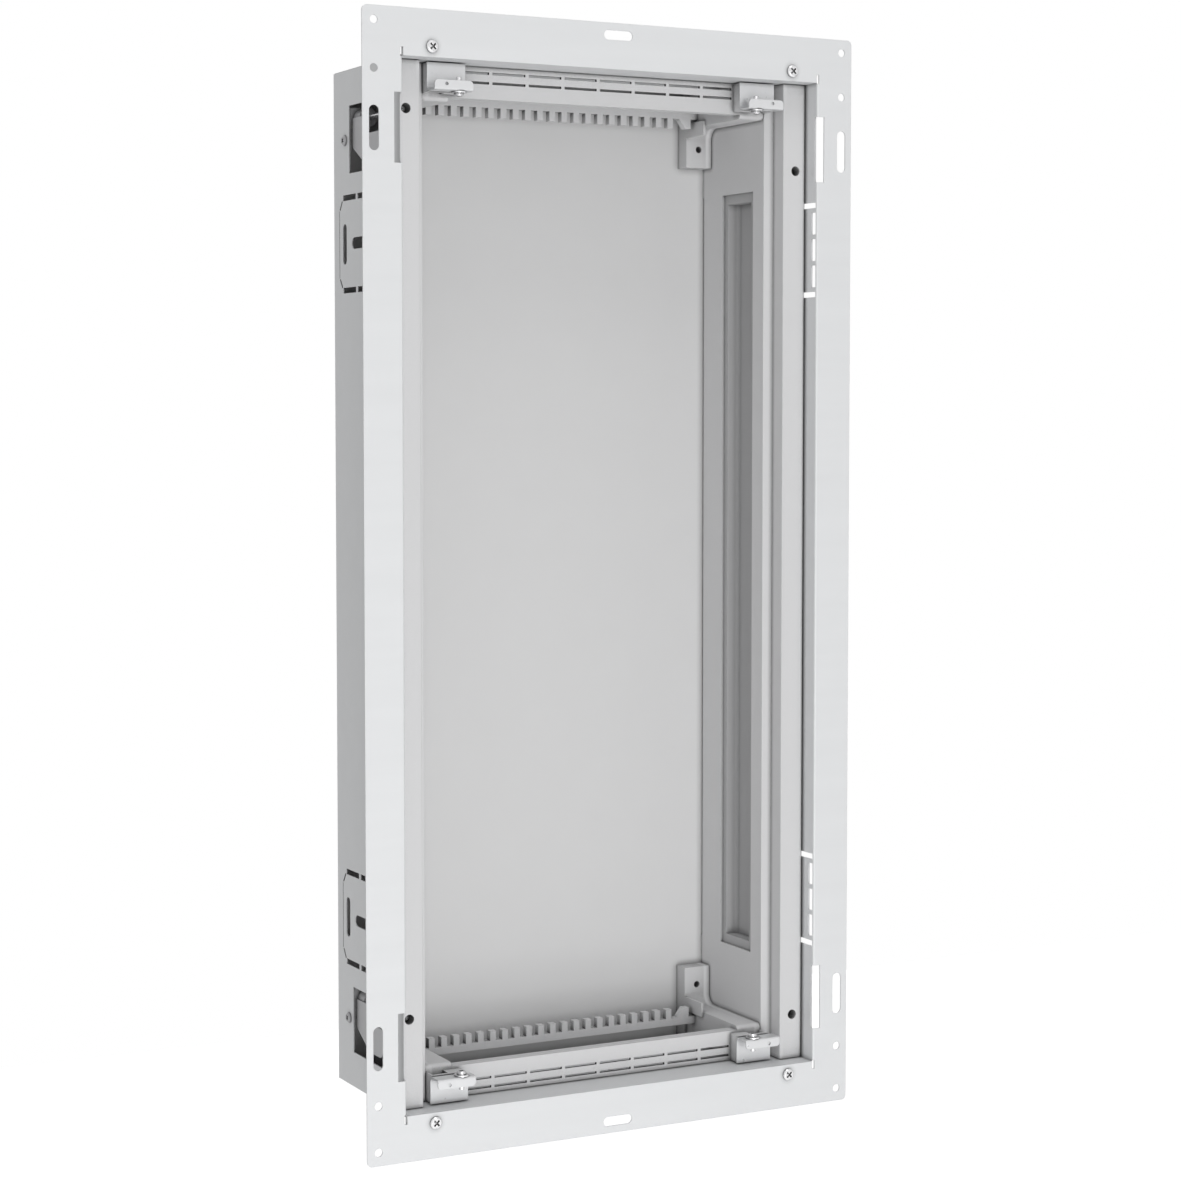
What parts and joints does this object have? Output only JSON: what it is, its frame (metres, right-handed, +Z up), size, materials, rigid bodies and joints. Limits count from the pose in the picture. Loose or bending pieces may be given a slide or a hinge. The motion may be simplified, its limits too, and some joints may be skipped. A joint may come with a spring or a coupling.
{
  "type": "distribution board",
  "caption": "Empty hollow-wall distribution board: folded steel trough with wide fixing flange, moulded liners with vent rails and cable combs, cover brackets and swivel claws for the wall",
  "frame": {"origin": "middle of the flange's back face, the plane of the wall it is fixed to", "axes": "+X to the right seen from the room, +Y into the wall, +Z up"},
  "size_m": [0.41, 0.1305, 0.832],
  "materials": {
    "galvanised_sheet": "galvanised sheet with faint rolling streaks",
    "liner_plastic": "light grey moulded plastic, matt",
    "insert_plastic": "darker grey moulded plastic, matt",
    "zinc_plate": "bright zinc plating",
    "claw_zinc": "zinc-plated steel, dull",
    "bush_steel": "turned, zinc-plated",
    "screw_steel": "zinc-plated screw"
  },
  "bodies": {
    "board": {"flange_frame": "galvanised_sheet", "back_panel": "galvanised_sheet", "top_end_plate": "galvanised_sheet", "bottom_end_plate": "galvanised_sheet", "flange_screws": "screw_steel", "left_side_liner": "liner_plastic", "right_side_liner": "liner_plastic", "left_pocket_insert": "insert_plastic", "right_pocket_insert": "insert_plastic", "top_end_liner": "liner_plastic", "bottom_end_liner": "liner_plastic", "bracket_top_left": "zinc_plate", "bracket_top_right": "zinc_plate", "bracket_bottom_left": "zinc_plate", "bracket_bottom_right": "zinc_plate", "clamp_screws": "screw_steel", "bearing_screws": "screw_steel", "claw_bearing_top_left": "zinc_plate", "claw_bearing_bottom_left": "zinc_plate", "claw_bearing_bottom_right": "zinc_plate", "claw_bearing_top_right": "zinc_plate"},
    "bush_top_left": {"claw_bush_top_left": "bush_steel"},
    "swing_claw_top_left": {"claw_top_left": "claw_zinc"},
    "screw_top_left": {"claw_screw_top_left": "screw_steel"},
    "bush_bottom_left": {"claw_bush_bottom_left": "bush_steel"},
    "swing_claw_bottom_left": {"claw_bottom_left": "claw_zinc"},
    "screw_bottom_left": {"claw_screw_bottom_left": "screw_steel"},
    "bush_bottom_right": {"claw_bush_bottom_right": "bush_steel"},
    "swing_claw_bottom_right": {"claw_bottom_right": "claw_zinc"},
    "screw_bottom_right": {"claw_screw_bottom_right": "screw_steel"},
    "bush_top_right": {"claw_bush_top_right": "bush_steel"},
    "swing_claw_top_right": {"claw_top_right": "claw_zinc"},
    "screw_top_right": {"claw_screw_top_right": "screw_steel"}
  },
  "joints": [
    {"name": "draw_top_left", "type": "slide", "parent": "board", "child": "bush_top_left", "axis": [0, -1, 0], "range_m": [0, 0.025]},
    {"name": "swing_top_left", "type": "hinge", "parent": "bush_top_left", "child": "swing_claw_top_left", "pos_m": [-0.1645, 0.0897, 0.3468], "axis": [0, 1, 0], "range_deg": [0, 90]},
    {"name": "turn_top_left", "type": "hinge", "parent": "board", "child": "screw_top_left", "pos_m": [-0.1645, 0.06, 0.3468], "axis": [0, 1, 0], "continuous": true},
    {"name": "draw_bottom_left", "type": "slide", "parent": "board", "child": "bush_bottom_left", "axis": [0, -1, 0], "range_m": [0, 0.025]},
    {"name": "swing_bottom_left", "type": "hinge", "parent": "bush_bottom_left", "child": "swing_claw_bottom_left", "pos_m": [-0.1645, 0.0897, -0.3152], "axis": [0, 1, 0], "range_deg": [0, 90]},
    {"name": "turn_bottom_left", "type": "hinge", "parent": "board", "child": "screw_bottom_left", "pos_m": [-0.1645, 0.06, -0.3152], "axis": [0, 1, 0], "continuous": true},
    {"name": "draw_bottom_right", "type": "slide", "parent": "board", "child": "bush_bottom_right", "axis": [0, -1, 0], "range_m": [0, 0.025]},
    {"name": "swing_bottom_right", "type": "hinge", "parent": "bush_bottom_right", "child": "swing_claw_bottom_right", "pos_m": [0.1645, 0.0897, -0.3468], "axis": [0, 1, 0], "range_deg": [0, 90]},
    {"name": "turn_bottom_right", "type": "hinge", "parent": "board", "child": "screw_bottom_right", "pos_m": [0.1645, 0.06, -0.3468], "axis": [0, 1, 0], "continuous": true},
    {"name": "draw_top_right", "type": "slide", "parent": "board", "child": "bush_top_right", "axis": [0, -1, 0], "range_m": [0, 0.025]},
    {"name": "swing_top_right", "type": "hinge", "parent": "bush_top_right", "child": "swing_claw_top_right", "pos_m": [0.1645, 0.0897, 0.3152], "axis": [0, 1, 0], "range_deg": [0, 90]},
    {"name": "turn_top_right", "type": "hinge", "parent": "board", "child": "screw_top_right", "pos_m": [0.1645, 0.06, 0.3152], "axis": [0, 1, 0], "continuous": true}
  ]
}
